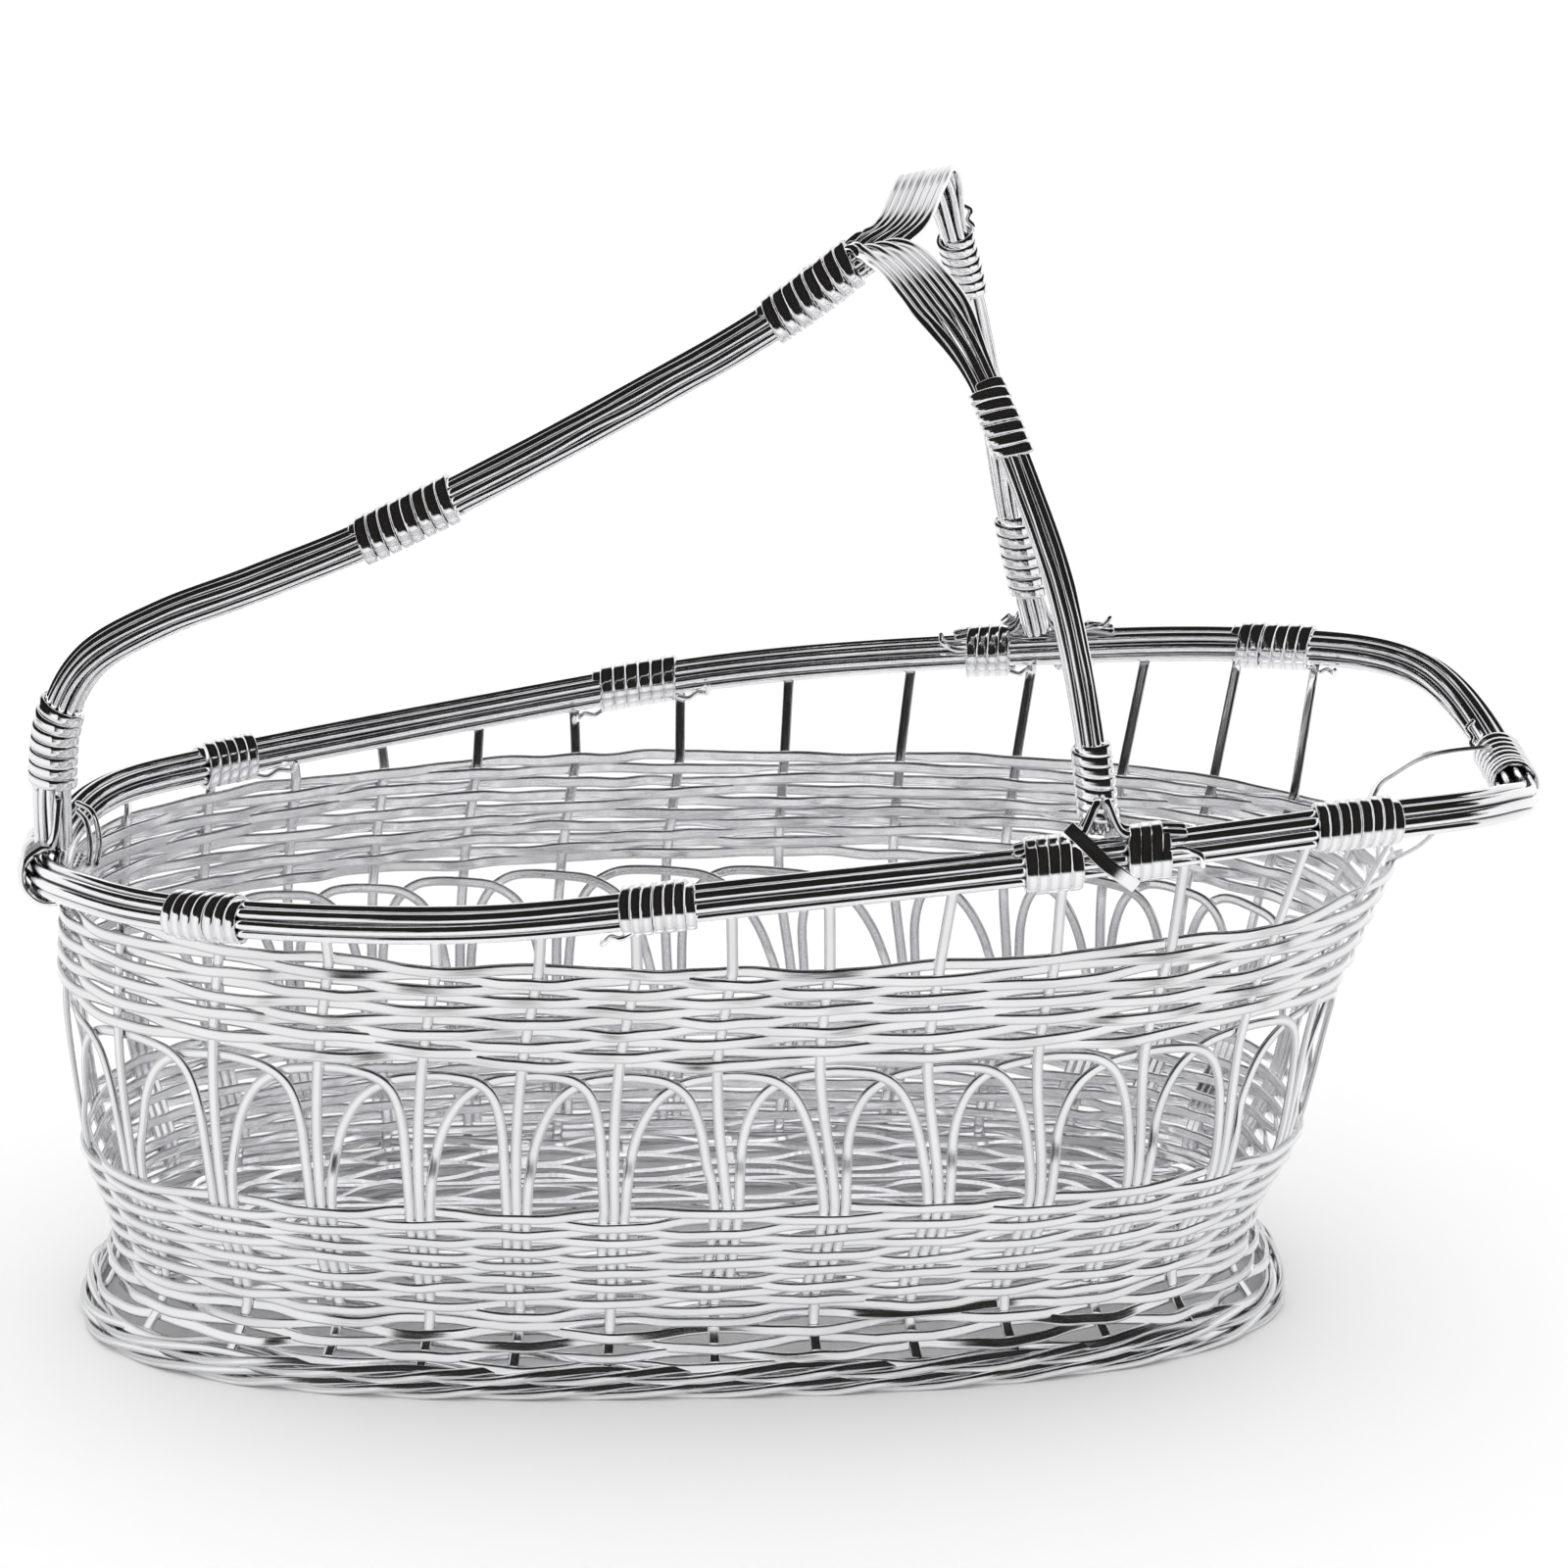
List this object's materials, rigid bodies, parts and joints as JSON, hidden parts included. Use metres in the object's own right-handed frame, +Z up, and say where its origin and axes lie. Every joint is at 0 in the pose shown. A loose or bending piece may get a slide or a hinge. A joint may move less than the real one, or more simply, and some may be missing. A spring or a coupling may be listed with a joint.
{
  "type": "wine pouring basket",
  "caption": "Woven silver-plated bottle cradle on a flared foot, with a bundled-wire rim rising to a spout and a fixed wire handle splitting into a hoop.",
  "frame": {"origin": "on the ground under the middle of the overall length, on the basket's plane of symmetry", "axes": "+X towards the pouring spout, +Y to the side, +Z up; the handle's foot is at the -X end"},
  "size_m": [0.2822, 0.1379, 0.2125],
  "materials": {
    "ribbon": "polished silver plate on flat drawn ribbon",
    "wire": "polished silver plate on round wire",
    "wrap": "polished silver plate on wound binding ribbon"
  },
  "bodies": {
    "root": {"floor_cross_sticks": "ribbon", "floor_long_sticks": "ribbon", "floor_weave_over": "ribbon", "floor_weave_under": "ribbon", "foot_border_lower": "ribbon", "foot_border_upper": "ribbon", "foot_weave": "ribbon", "side_stakes": "ribbon", "spout_stay_front": "ribbon", "spout_stay_rear": "ribbon", "lower_weaver_a": "ribbon", "lower_weaver_b": "ribbon", "lower_binding_row": "ribbon", "arcade_arches": "ribbon", "upper_weaver_a": "ribbon", "upper_weaver_b": "ribbon", "upper_binding_row": "ribbon", "rim_core": "wire", "rim_strands": "wire", "rim_curl_front": "wire", "rim_curl_rear": "wire", "rim_wrap_front_heel": "wrap", "rim_wrap_front_middle": "wrap", "rim_wrap_front_spout": "wrap", "rim_wrap_rear_heel": "wrap", "rim_wrap_rear_middle": "wrap", "rim_wrap_rear_spout": "wrap", "rim_wrap_tip": "wrap", "handle_core": "wire", "handle_strands": "wire", "handle_wrap_base": "wrap", "handle_wrap_middle": "wrap", "handle_wrap_top": "wrap", "hoop_core_front": "wire", "hoop_core_rear": "wire", "hoop_strands_front": "wire", "hoop_strands_rear": "wire", "hoop_wrap_front_upper": "wrap", "hoop_wrap_front_lower": "wrap", "hoop_wrap_rear_upper": "wrap", "hoop_wrap_rear_lower": "wrap", "hoop_splay_front": "wire", "hoop_splay_rear": "wire", "foot_binding_front_heel": "wrap", "foot_binding_front_spout": "wrap", "foot_binding_rear_heel": "wrap", "foot_binding_rear_spout": "wrap", "foot_strap_front": "wrap", "foot_strap_rear": "wrap"}
  },
  "joints": []
}
